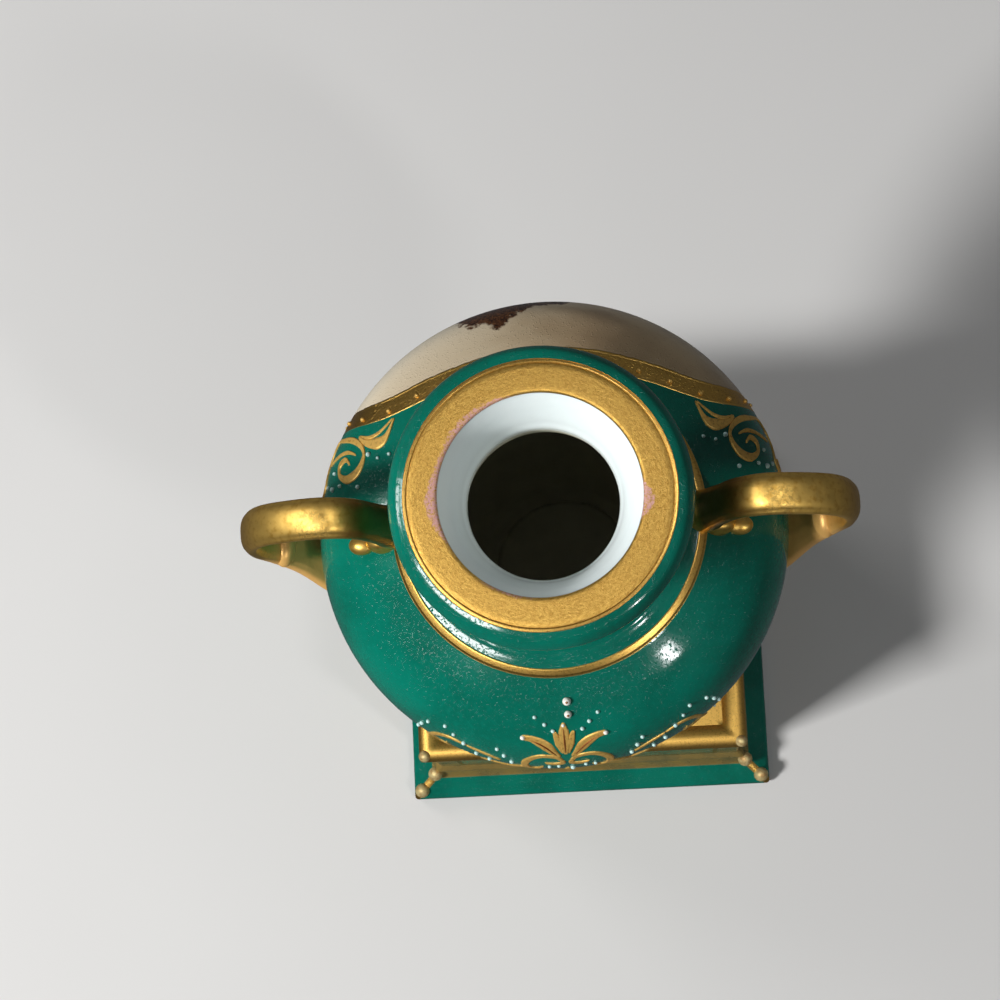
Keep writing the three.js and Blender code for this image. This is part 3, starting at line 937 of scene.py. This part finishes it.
def bead_tree(name, strung):
    """A tree that puts a small sphere at each point, or at even spacing along a line."""
    tree = bpy.data.node_groups.new(name, "GeometryNodeTree")
    tree.is_modifier = True
    sockets = [("Points", "NodeSocketGeometry"), ("Radius", "NodeSocketFloat")]
    sockets.append(("Material", "NodeSocketMaterial"))
    if strung:
        sockets.append(("Spacing", "NodeSocketFloat"))
    for label, kind in sockets:
        tree.interface.new_socket(name=label, in_out="INPUT", socket_type=kind)
    tree.interface.new_socket(name="Beads", in_out="OUTPUT", socket_type="NodeSocketGeometry")
    start = tree.nodes.new("NodeGroupInput")
    end = tree.nodes.new("NodeGroupOutput")
    link = tree.links.new
    points = start.outputs["Points"]
    spread = tree.nodes.new("GeometryNodeInstanceOnPoints")
    if strung:
        curve = tree.nodes.new("GeometryNodeMeshToCurve")
        even = tree.nodes.new("GeometryNodeResampleCurve")
        even.mode = "LENGTH"
        link(points, curve.inputs[0])
        link(curve.outputs[0], even.inputs["Curve"])
        link(start.outputs["Spacing"], even.inputs["Length"])
        points = even.outputs[0]
    else:
        size = tree.nodes.new("GeometryNodeInputNamedAttribute")
        size.data_type = "FLOAT"
        size.inputs["Name"].default_value = "size"
        link(size.outputs["Attribute"], spread.inputs["Scale"])
    bead = tree.nodes.new("GeometryNodeMeshUVSphere")
    bead.inputs["Segments"].default_value = bead_sides
    bead.inputs["Rings"].default_value = bead_rings
    link(start.outputs["Radius"], bead.inputs["Radius"])
    link(points, spread.inputs["Points"])
    link(bead.outputs["Mesh"], spread.inputs["Instance"])
    last = spread.outputs[0]
    for kind in ("GeometryNodeRealizeInstances", "GeometryNodeSetShadeSmooth", "GeometryNodeSetMaterial"):
        node = tree.nodes.new(kind)
        link(last, node.inputs["Geometry"])
        last = node.outputs[0]
    link(start.outputs["Material"], node.inputs["Material"])
    link(last, end.inputs["Beads"])
    return tree


def make_beads(name, spots, tree, edges=(), sizes=None, **inputs):
    """Runs a bead tree over millimetre points and keeps the plain mesh."""
    mesh = bpy.data.meshes.new(name)
    mesh.from_pydata([tuple(c * MM for c in spot) for spot in spots], list(edges), [])
    if sizes is not None:
        mesh.attributes.new("size", "FLOAT", "POINT").data.foreach_set("value", sizes)
    piece = bpy.data.objects.new(name, mesh)
    bpy.context.scene.collection.objects.link(piece)
    modifier = piece.modifiers.new("beads", "NODES")
    modifier.node_group = tree
    for item in tree.interface.items_tree:
        if item.item_type == "SOCKET" and item.in_out == "INPUT" and item.name in inputs:
            modifier[item.identifier] = inputs[item.name]
    evaluated = piece.evaluated_get(bpy.context.evaluated_depsgraph_get())
    plain = bpy.data.meshes.new_from_object(evaluated)
    piece.modifiers.clear()
    piece.data = plain
    plain.name = name
    return piece


def enamel(name, colour, roughness=0.2):
    finish = Finish(name)
    finish.set(Base_Color=finish.blend(finish.noise(1.5, 2.0), colour, tuple(c * 0.88 for c in colour)))
    finish.set(Roughness=roughness, Normal=finish.relief(finish.noise(2.0, 2.0), 0.05, 0.5))
    return finish.material


drop_tree = bead_tree("drops_at_points", False)
string_tree = bead_tree("beads_along_line", True)

turquoise_drops = [  # across from the middle of the back, down, size
    (6.2, 9.2, 0.9), (4.4, 10.7, 1), (2.9, 12.1, 1), (14.6, 18.9, 1), (13.4, 21.2, 1.1),
    (12.1, 24.2, 1.1), (25.5, 17.7, 1), (23.8, 19.3, 0.9), (21.8, 21.2, 1.1), (19.4, 24.6, 1.1),
    (16.8, 26.4, 1), (2.7, 25, 0.9), (4.6, 25.6, 0.9), (29.6, 19.6, 1), (31.4, 22.4, 1.1),
    (32.6, 25.8, 1), (17, 39, 1), (14.6, 43, 1), (9, 49.5, 1), (6.4, 54, 0.9), (31.5, 36, 1),
    (29, 42, 1), (24, 47, 1),
]
corner_drops = [  # degrees round from the front, down, size
    (66.3, 9.4, 1.2), (66.5, 6.9, 0.8), (64.1, 4.8, 0.9), (73.3, 17.5, 1), (76.4, 9.6, 1.1),
    (76.6, 14.4, 1), (77.6, 16.8, 1.3), (77.0, 19.4, 1.1), (80.2, 20.6, 1), (82, 24, 1),
    (82.4, 28, 1), (72.6, 33, 1), (70.4, 37.6, 1), (74.6, 42, 1), (71.6, 48, 1), (66, 51.5, 1),
]
drop_radius = 0.42 * MM
pearl_radius = 0.85 * MM
red_touch_radius = 0.3 * MM
band_bead_radius = 0.5 * MM
band_bead_spacing = 6.6 * MM


def drops():
    spots, sizes = [], []
    for mirror in (1, -1):
        for across, s, size in turquoise_drops:
            spots.append(on_body(back + mirror * across / body_at(s)[0], s, 0.1))
            sizes.append(size)
        for turn, s, size in corner_drops:
            spots.append(on_body(mirror * math.radians(turn), s, 0.1))
            sizes.append(size)
    spots.append(on_body(back, 27, 0.1))
    sizes.append(1.2)
    return make_beads(
        "enamel_drops", spots, drop_tree, sizes=sizes, Radius=drop_radius,
        Material=enamel("turquoise_enamel", (0.58, 0.82, 0.78)),
    )


def pearls():
    """Two white drops over the palmette, each touched with red gold, and one on each leaf's tip."""
    places = [(0.4, 5.9), (0.4, 8.6)]
    leaf_tips = [(0, 10.9), (8.2, 14), (-8.2, 14)]
    white = [on_body(back + across / body_at(s)[0], s, 0.15) for across, s in places]
    tips = [on_body(palmette_middle + across / body_at(s)[0], s, 0.15) for across, s in leaf_tips]
    red = [on_body(back + across / body_at(s)[0], s, 0.82) for across, s in places]
    pearl = make_beads(
        "enamel_pearls", white + tips, drop_tree, sizes=[1, 0.9, 0.45, 0.6, 0.6], Radius=pearl_radius,
        Material=enamel("white_enamel", (0.86, 0.84, 0.76)),
    )
    centre = make_beads(
        "pearl_centres", red, drop_tree, sizes=[1, 0.9], Radius=red_touch_radius, Material=red_gold,
    )
    return pearl, centre


def band_beads():
    """Gilt beads down the middle of the band that frames the panel."""
    middle = panel_outline(band_wide / 2)
    spots = on_body(middle[:, 0], middle[:, 1], 0.05)
    edges = [(i, (i + 1) % len(spots)) for i in range(len(spots))]
    return make_beads(
        "band_beads", spots, string_tree, edges,
        Spacing=band_bead_spacing, Radius=band_bead_radius, Material=paste_gold,
    )


def plinth_beads():
    """Three pale gilt beads on every mitre of the plinth."""
    spots, sizes = [], []
    on_border = (border_half - 1.4, border_top - 0.5, 1.45)
    for half, z, size in (on_border, (40.2, 8.6, 1.9), (44.2, 4.4, 1.9)):
        for x, y in ((1, 1), (-1, 1), (-1, -1), (1, -1)):
            spots.append((half * x, half * y, z))
            sizes.append(size)
    finish = Finish("pale_gilding")
    thin = finish.rise(finish.noise(0.8, 3.0), 0.4, 0.65)
    finish.set(Base_Color=finish.blend(thin, (0.80, 0.64, 0.30), (0.58, 0.36, 0.14)))
    finish.set(Metallic=0.6, Roughness=0.5, Normal=finish.relief(finish.noise(3.0, 3.0), 0.04, 0.5))
    return make_beads(
        "plinth_corner_beads", spots, drop_tree, sizes=sizes, Radius=MM, Material=finish.material,
    )


for piece, slot in (
    (drops(), "enamel"), (band_beads(), "gilding"), (plinth_beads(), "gilding"),
    *((part, "enamel") for part in pearls()),
):
    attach(piece, "root")


# ---------------------------------------------------------------- Studio
# A plain pale floor in a dim pale room. Soft boxes light the near left and fill the far left, and
# smaller ones only show in the gloss. The camera looks steeply down from the near side.

look_at = (0, 0, 0.17)
floor_half = 3.0


def soft_box(name, place, size, power, mirrored=True, lights=True):
    """A lamp that looks at the urn. It can be kept out of the gloss, or show in the gloss alone."""
    lamp = bpy.data.lights.new(name, "AREA")
    lamp.shape = "RECTANGLE"
    lamp.size, lamp.size_y = size
    lamp.energy = power
    holder = bpy.data.objects.new(name, lamp)
    holder.location = place
    holder.rotation_euler = (Vector(look_at) - Vector(place)).to_track_quat("-Z", "Y").to_euler()
    holder.visible_glossy = mirrored
    holder.visible_diffuse = lights
    bpy.context.scene.collection.objects.link(holder)


soft_box("near_left_key", (0.80, 0.42, 0.88), (0.22, 0.22), 16, mirrored=False)
soft_box("left_fill", (0.85, -0.60, 0.55), (0.40, 0.40), 2.7, mirrored=False)
soft_box("left_glint", (0.66, -0.14, 0.90), (0.20, 0.20), 1.8, lights=False)
soft_box("near_left_strip", (0.34, 0.22, 0.92), (0.36, 0.14), 4, lights=False)
soft_box("near_right_strip", (-0.40, 0.42, 0.82), (0.055, 0.14), 1.0)
soft_box("right_glint", (-0.30, -0.10, 0.95), (0.12, 0.12), 0.8, lights=False)

world = bpy.data.worlds.new("dim_room")
bpy.context.scene.world = world
world.use_nodes = True
world.node_tree.nodes["Background"].inputs["Color"].default_value = (0.9, 0.93, 1.0, 1)
world.node_tree.nodes["Background"].inputs["Strength"].default_value = 0.08

mesh = bpy.data.meshes.new("floor")
floor_corners = [(x * floor_half, y * floor_half, 0) for x, y in ((-1, -1), (1, -1), (1, 1), (-1, 1))]
mesh.from_pydata(floor_corners, [], [(0, 1, 2, 3)])
floor = bpy.data.objects.new("floor", mesh)
bpy.context.scene.collection.objects.link(floor)
floor_finish = Finish("pale_floor")
cloudy = floor_finish.blend(floor_finish.noise(0.01, 2.0), (0.66, 0.65, 0.635), (0.69, 0.68, 0.665))
floor_finish.set(Base_Color=cloudy, Roughness=0.8)
mesh.materials.append(floor_finish.material)
floor.visible_glossy = False

camera_data = bpy.data.cameras.new("camera")
camera_data.sensor_width = 36
camera_data.lens = 93.6
camera = bpy.data.objects.new("camera", camera_data)
camera.location = (-0.0217, 0.0722, 0.686)
camera.rotation_euler = [math.radians(a) for a in (8.467, 3.925, 177.404)]
bpy.context.scene.collection.objects.link(camera)
bpy.context.scene.camera = camera

bpy.context.scene.view_settings.view_transform = "Standard"
